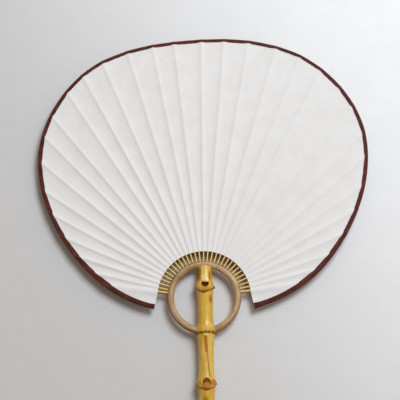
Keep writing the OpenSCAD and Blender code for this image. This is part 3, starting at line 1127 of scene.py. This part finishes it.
def lengthwise_grain(shader, across, deep, along, fibres_per_mm, stretch):
    """Fibres and pores that run along one direction; the two others are across them."""
    spot = shader.vector(across, deep, shader.maths("DIVIDE", along, stretch))
    fine = shader.noise(spot, fibres_per_mm, 4.0, 0.6)
    wide = shader.noise(spot, shader.times(fibres_per_mm, 0.3), 2.0)
    pores = shader.noise(spot, shader.times(fibres_per_mm, 2.3), 1.0)
    return {
        "Fibres": shader.spread(fine, 0.35, 0.65),
        "Streaks": shader.spread(wide, 0.38, 0.62),
        "Pores": shader.spread(pores, 0.62, 0.7),
    }


def paper_pulp(shader, place, cloud_size):
    """Clouds and fibres of hand-made paper."""
    clouds = shader.noise(place, shader.maths("DIVIDE", 1.0, cloud_size), 4.0, 0.6)
    pulled = shader.vectors("MULTIPLY", place, (0.9, 0.25, 0.9), output="Vector")
    threads = shader.noise(pulled, 1.6, 5.0, 0.7)
    return {"Clouds": shader.spread(clouds, 0.35, 0.65), "Fibres": shader.spread(threads, 0.3, 0.7)}


def handling_soil(shader, place, patch_size, amount):
    """Where hands and time have darkened a wooden surface, in uneven patches."""
    patches = shader.noise(place, shader.maths("DIVIDE", 1.0, patch_size), 5.0, 0.65)
    return {"Soil": shader.times(shader.spread(patches, 0.42, 0.7), amount)}


def paper_material(colours, inner):
    """Matte rice paper with faint clouds, fibres, two small specks and a painted highlight along its inner
    edge.
    """
    shader = Finish("Rice paper")
    place = shader.place
    radius = shader.effect(polar_place, place=place)[0]
    clouds, fibres = shader.effect(paper_pulp, place=place, cloud_size=16.0)
    # Painted highlight within a millimetre of the paper's inner edge.
    edge_highlight = shader.spread(radius, inner * PER_MM + 0.1, inner * PER_MM + 0.9, 0.75, 0.0)
    specks = [
        (shader.spread(shader.vectors("DISTANCE", place, speck), 0.25, 0.8, 0.35, 0.0), 1, colours.line)
        for speck in PAPER_SPECKS
    ]
    flecks = shader.spread(shader.noise(place, 0.9, 1.0), 0.73, 0.78, 0.0, 0.12)
    return shader.lead(
        Base_Color=shader.coats(
            colours.paper,
            (clouds, 1, colours.paper_cloud),
            (shader.spread(fibres, 0.5, 1.0, 0.0, 0.22), 1, colours.paper_cloud),
            (edge_highlight, 1, colours.paper_edge),
            *specks,
            (flecks, 1, colours.rib_deep),
        ),
        Roughness=shader.between(fibres, 0.78, 0.92),
        Specular_IOR_Level=0.25,
        Normal=shader.bump(fibres, 0.03 * MM, 0.6),
    )


def strip_material(colours):
    """Dark dyed paper, cloudy, and rubbed pale along its fold."""
    shader = Finish("Edge strip paper")
    clouds, fibres = shader.effect(paper_pulp, place=shader.place, cloud_size=5.0)
    height = shader.maths("ABSOLUTE", shader.split(shader.place)[2])
    worn = shader.times(shader.spread(height, 1.1, 1.5), shader.spread(fibres, 0.3, 0.8))
    return shader.lead(
        Base_Color=shader.coats(
            colours.strip,
            (clouds, 1, colours.strip_dark),
            (shader.spread(fibres, 0.55, 1.0, 0.0, 0.35), 1, colours.strip_worn),
            (worn, 0.5, colours.strip_worn),
        ),
        Roughness=shader.between(fibres, 0.55, 0.75),
        Specular_IOR_Level=0.15,
        Normal=shader.bump(fibres, 0.06 * MM, 0.7),
    )


def rib_material(colours):
    """Split bamboo: fine fibres along each rib, every rib in a tone of its own, with painted shade on the
    split sides.
    """
    shader = Finish("Split bamboo")
    radius, turn, height = shader.effect(polar_place, place=shader.place)
    fibres, streaks, pores = shader.effect(
        lengthwise_grain,
        across=shader.times(turn, 34.0), deep=height, along=radius, fibres_per_mm=3.2, stretch=14.0,
    )
    own = shader.spread(shader.noise(shader.vector(turn, 0.0, 3.0), 11.0, 0.0), 0.35, 0.65)
    soil = shader.effect(handling_soil, place=shader.place, patch_size=5.0, amount=0.3)[0]
    face = shader.maths("ABSOLUTE", shader.split(shader.add("NewGeometry").outputs["Normal"])[2])
    return shader.lead(
        Base_Color=shader.coats(
            colours.rib,
            (own, 1, colours.root_pale),
            (fibres, 0.55, colours.rib_deep),
            (pores, 0.5, colours.line),
            (soil, 1, colours.rib_deep),
            # Painted shade on faces that turn away from straight up.
            (shader.spread(face, 0.9, 0.97, 1.0, 0.0), 1, colours.rib_side_shade),
        ),
        Roughness=shader.between(streaks, 0.38, 0.55),
        Normal=shader.bump(fibres, 0.04 * MM, 0.6),
    )


def hoop_material(colours):
    """Scraped wood with fine grain along the bend, in patches of soil, with painted shade on the outside
    where the ribs enter and painted light on its right side.
    """
    shader, bend = Finish("Hoop wood"), HOOP_BEND * PER_MM
    radius, turn, height = shader.effect(polar_place, place=shader.place)
    fibres, streaks, pores = shader.effect(
        lengthwise_grain,
        across=radius, deep=height, along=shader.times(turn, bend), fibres_per_mm=2.4, stretch=20.0,
    )
    soil = shader.effect(handling_soil, place=shader.place, patch_size=9.0, amount=0.4)[0]
    # Painted shade on the outer side of the hoop's section, where the ribs enter.
    outer = shader.times(shader.spread(radius, bend + 1.3, bend + 2.8), 0.8)
    soil_and_shade = shader.maths("ADD", soil, outer, clamp=True)
    wood = shader.coats(
        colours.hoop,
        # Painted light on the hoop's right side.
        (shader.spread(shader.split(shader.place)[0], -18.0, 30.0), 1, colours.hoop_painted_light),
        (streaks, 0.6, colours.hoop_deep_and_shade),
        (fibres, 0.45, colours.hoop_deep_and_shade),
        (pores, 0.5, colours.line),
    )
    return shader.lead(
        Base_Color=shader.blend(soil_and_shade, wood, colours.hoop_deep_and_shade, "MULTIPLY"),
        Roughness=shader.between(fibres, 0.42, 0.6),
        Normal=shader.bump(fibres, 0.05 * MM, 0.6),
    )


def handle_material(colours, top):
    """Glossy varnish over bamboo root: streaks of green, amber and pale honey, with scars, stains and painted
    shade in the bud pockets.
    """
    shader = Finish("Varnished bamboo root")
    x, y, z = shader.split(shader.place)
    fibres, streaks, pores = shader.effect(
        lengthwise_grain, across=x, deep=z, along=y, fibres_per_mm=1.5, stretch=16.0
    )
    drift = shader.vector(x, z, shader.maths("DIVIDE", y, 7.0))
    amber = shader.spread(shader.noise(drift, 0.45, 2.0), 0.45, 0.6)
    green = shader.spread(shader.noise(drift, 0.75, 2.0), 0.48, 0.62)
    soil = shader.effect(handling_soil, place=shader.place, patch_size=5.0, amount=0.45)[0]
    broken = shader.spread(shader.noise(shader.place, 1.3, 4.0, 0.6), 0.3, 0.6, 0.6, 1.0)
    scar, stain, line = (
        shader.add("Attribute", attribute_name=name).outputs["Fac"] for name in ("scar", "stain", "line")
    )
    dull = shader.maths("MAXIMUM", shader.maths("MAXIMUM", scar, shader.times(stain, 0.5)), line)
    dots = shader.add("TexVoronoi", {"Vector": shader.vector(x, 0.0, z), "Scale": 1.5}).outputs["Distance"]
    bundles = shader.blend(shader.spread(dots, 0.22, 0.34), colours.scar, colours.rib)
    return shader.lead(
        Base_Color=shader.coats(
            colours.root,
            (amber, 0.7, colours.root_amber),
            (green, 0.75, colours.root_green),
            (streaks, 0.45, colours.root_pale),
            (fibres, 0.3, colours.root_amber),
            (pores, 0.3, colours.line),
            (soil, 1, colours.root_green),
            (stain, broken, colours.stain),
            (line, broken, colours.line),
            (scar, 1, colours.scar),
            (shader.spread(y, top * PER_MM - 0.12, top * PER_MM - 0.04), 1, bundles),
        ),
        Roughness=shader.spread(dull, 0.1, 0.7, 0.4, 0.85),
        Specular_IOR_Level=0.2,
        Coat_Weight=shader.spread(dull, 0.1, 0.7, 0.55, 0.0),
        Coat_Roughness=0.2,
        Normal=shader.bump(fibres, 0.05 * MM, 0.5),
    )


def table_material(colours):
    """Pale matte table with painted light that grows towards the lamp and painted warm shade under the bare
    ribs; it fades into the backdrop far from the fan.
    """
    shader = Finish("Pale table")
    x, y, _ = shader.split(shader.place)
    clouds, fibres = shader.effect(paper_pulp, place=shader.place, cloud_size=22.0)
    toward = shader.maths("ADD", x, shader.times(y, 0.55))
    # Painted warm shade on the table, in a band under the bare ribs above the hoop's centre.
    radius = shader.effect(polar_place, place=shader.vector(x, shader.maths("SUBTRACT", y, 2.0), 0.0))[0]
    painted_rib_shade = shader.times(shader.spread(radius, 27.0, 30.0), shader.spread(radius, 38.0, 40.0, 1.0, 0.0))
    painted_rib_shade = shader.times(painted_rib_shade, shader.spread(y, 2.0, 8.0))
    plain = shader.coats(
        colours.table,
        # Painted light: the table turns lighter towards the lamp.
        (shader.spread(toward, -120.0, 320.0), 1, colours.table_painted_light),
        (clouds, 0.08, colours.table),
    )
    far = shader.spread(shader.vectors("LENGTH", shader.place), 350.0, 1000.0)
    return shader.lead(
        Base_Color=shader.blend(far, shader.blend(painted_rib_shade, plain, colours.glow, "MULTIPLY"), BLACK),
        Emission_Color=shader.blend(far, BLACK, (BACKDROP,) * 3),
        Emission_Strength=1.0,
        Roughness=shader.between(fibres, 0.7, 0.85),
        Specular_IOR_Level=0.2,
        Normal=shader.bump(clouds, 0.3 * MM, 0.4),
    )


# Operators

TABLE_HALF = 3.0


class Undoable:
    """What the fan's operators share"""

    bl_options = {"REGISTER", "UNDO"}


class FAN_OT_stage(Undoable, bpy.types.Operator):
    """Set the table, the soft lamp, the even light and the camera"""

    bl_idname = "fan.stage"
    bl_label = "Stage"

    def execute(self, context):
        scene, stage = context.scene, context.scene.fan_stage
        scene.view_settings.view_transform = "Standard"
        corners = ((-1, -1), (1, -1), (1, 1), (-1, 1))
        points = [(x * TABLE_HALF, y * TABLE_HALF, CAD_BOX[0].z) for x, y in corners]
        table = shape("table", points, [(0, 1, 2, 3)])
        table.materials.append(table_material(scene.fan_colours))
        place("table", table)

        aim = HUB + Vector((*stage.aim, 0))
        back = Vector((0, -sin(stage.tilt), cos(stage.tilt)))
        rise = Vector((0, cos(stage.tilt), sin(stage.tilt)))
        side = Vector((1, 0, 0))
        right = side * cos(stage.roll) - rise * sin(stage.roll)
        up = side * sin(stage.roll) + rise * cos(stage.roll)
        camera = place("camera", bpy.data.cameras.new("camera"))
        camera.data.lens = stage.lens
        facing = Matrix((right, up, back)).transposed().to_4x4()
        camera.matrix_world = Matrix.Translation(aim + back * stage.distance) @ facing
        scene.camera = camera

        flat = (*ray(stage.lamp_side), 0)
        toward = Vector(flat) * cos(stage.lamp_height) + Vector((0, 0, sin(stage.lamp_height)))
        lamp = place("soft_lamp", bpy.data.lights.new("soft_lamp", "AREA"))
        lamp.data.size = stage.lamp_size
        lamp.data.energy = stage.lamp_power
        balance = stage.fill * stage.warmth / (1 - stage.fill)
        lamp.data.color = (1 - balance, 1, 1 + balance)
        lamp.location = aim + toward * stage.lamp_distance
        lamp.rotation_euler = toward.to_track_quat("Z", "Y").to_euler()

        scene.world = bpy.data.worlds.new("even_light")
        scene.world.use_nodes = True
        sky = Shader(scene.world.node_tree)
        near_lamp = sky.vectors("DOT_PRODUCT", sky.add("TexCoord").outputs["Generated"], flat)
        away, close = (
            [level * channel for channel in (1 + stage.warmth, 1, 1 - stage.warmth)]
            for level in (1 - stage.lean, 1 + stage.lean)
        )
        tone = sky.blend(sky.spread(near_lamp, -1.0, 1.0), away, close)
        seen = sky.add("LightPath").outputs["Is Camera Ray"]
        tone = sky.blend(seen, tone, (BACKDROP / stage.fill,) * 3)
        sky.feed(sky.tree.nodes["Background"], {"Color": tone, "Strength": stage.fill})
        return {"FINISHED"}


class FAN_OT_leaves(Undoable, bpy.types.Operator):
    """Make the front and back paper leaves"""

    bl_idname = "fan.leaves"
    bl_label = "Paper leaves"

    def execute(self, context):
        blade = Blade(context.scene)
        paper = paper_material(context.scene.fan_colours, blade.inner)
        for node, face in (("front_leaf", 1), ("back_leaf", -1)):
            name = f"{node}_paper"
            show(name, leaf_mesh(blade, name, face), paper, node)
        return {"FINISHED"}


class FAN_OT_strip(Undoable, bpy.types.Operator):
    """Make the strip folded over the rim"""

    bl_idname = "fan.strip"
    bl_label = "Edge strip"

    def execute(self, context):
        name = "edge_strip_paper"
        mesh = strip_mesh(Blade(context.scene), name)
        show(name, mesh, strip_material(context.scene.fan_colours), "edge_strip")
        return {"FINISHED"}


class FAN_OT_ribs(Undoable, bpy.types.Operator):
    """Make the split bamboo ribs"""

    bl_idname = "fan.ribs"
    bl_label = "Ribs"

    def execute(self, context):
        blade = Blade(context.scene)
        bamboo = rib_material(context.scene.fan_colours)
        for number, node in enumerate(RIB_NODES, 1):
            name = f"{node}_bamboo"
            show(name, rib_mesh(blade, name, number), bamboo, node)
        return {"FINISHED"}


class FAN_OT_hoop(Undoable, bpy.types.Operator):
    """Make the wooden hoop with its sockets"""

    bl_idname = "fan.hoop"
    bl_label = "Hoop"

    def execute(self, context):
        wood = hoop_material(context.scene.fan_colours)
        show("hoop_wood", hoop_mesh(context.scene), wood, "hoop")
        return {"FINISHED"}


class FAN_OT_handle(Undoable, bpy.types.Operator):
    """Make the bamboo-root handle"""

    bl_idname = "fan.handle"
    bl_label = "Root handle"

    def execute(self, context):
        scene, handle = context.scene, context.scene.fan_handle
        mesh = handle_mesh(scene)
        paint_handle(mesh, handle)
        show("handle_root", mesh, handle_material(scene.fan_colours, handle.top), "handle")
        return {"FINISHED"}


class FAN_PT_pieces(bpy.types.Panel):
    """Lists the fan's pieces and their sizes"""

    bl_idname = "FAN_PT_pieces"
    bl_label = "Round paper fan"
    bl_space_type = "VIEW_3D"
    bl_region_type = "UI"
    bl_category = "Paper fan"

    def draw(self, context):
        for operator in OPERATORS:
            self.layout.operator(operator.bl_idname)
        for name, group in GROUPS.items():
            box = self.layout.box()
            box.label(text=group.__doc__)
            for key in group.__annotations__:
                box.prop(getattr(context.scene, name), key)


GROUPS = {
    "fan_blade": BladeSizes,
    "fan_ribs": RibSizes,
    "fan_hoop": HoopSizes,
    "fan_handle": HandleSizes,
    "fan_stage": StageSizes,
    "fan_colours": Colours,
}
OPERATORS = (FAN_OT_stage, FAN_OT_leaves, FAN_OT_strip, FAN_OT_ribs, FAN_OT_hoop, FAN_OT_handle)


def register():
    for kind in (*GROUPS.values(), *OPERATORS, FAN_PT_pieces):
        bpy.utils.register_class(kind)
    for name, group in GROUPS.items():
        setattr(bpy.types.Scene, name, bpy.props.PointerProperty(type=group))


def unregister():
    for name in GROUPS:
        delattr(bpy.types.Scene, name)
    for kind in (FAN_PT_pieces, *OPERATORS, *GROUPS.values()):
        bpy.utils.unregister_class(kind)


def main():
    register()
    bpy.ops.fan.stage()
    bpy.ops.fan.leaves()
    bpy.ops.fan.strip()
    bpy.ops.fan.ribs()
    bpy.ops.fan.hoop()
    bpy.ops.fan.handle()


if __name__ == "__main__":
    main()
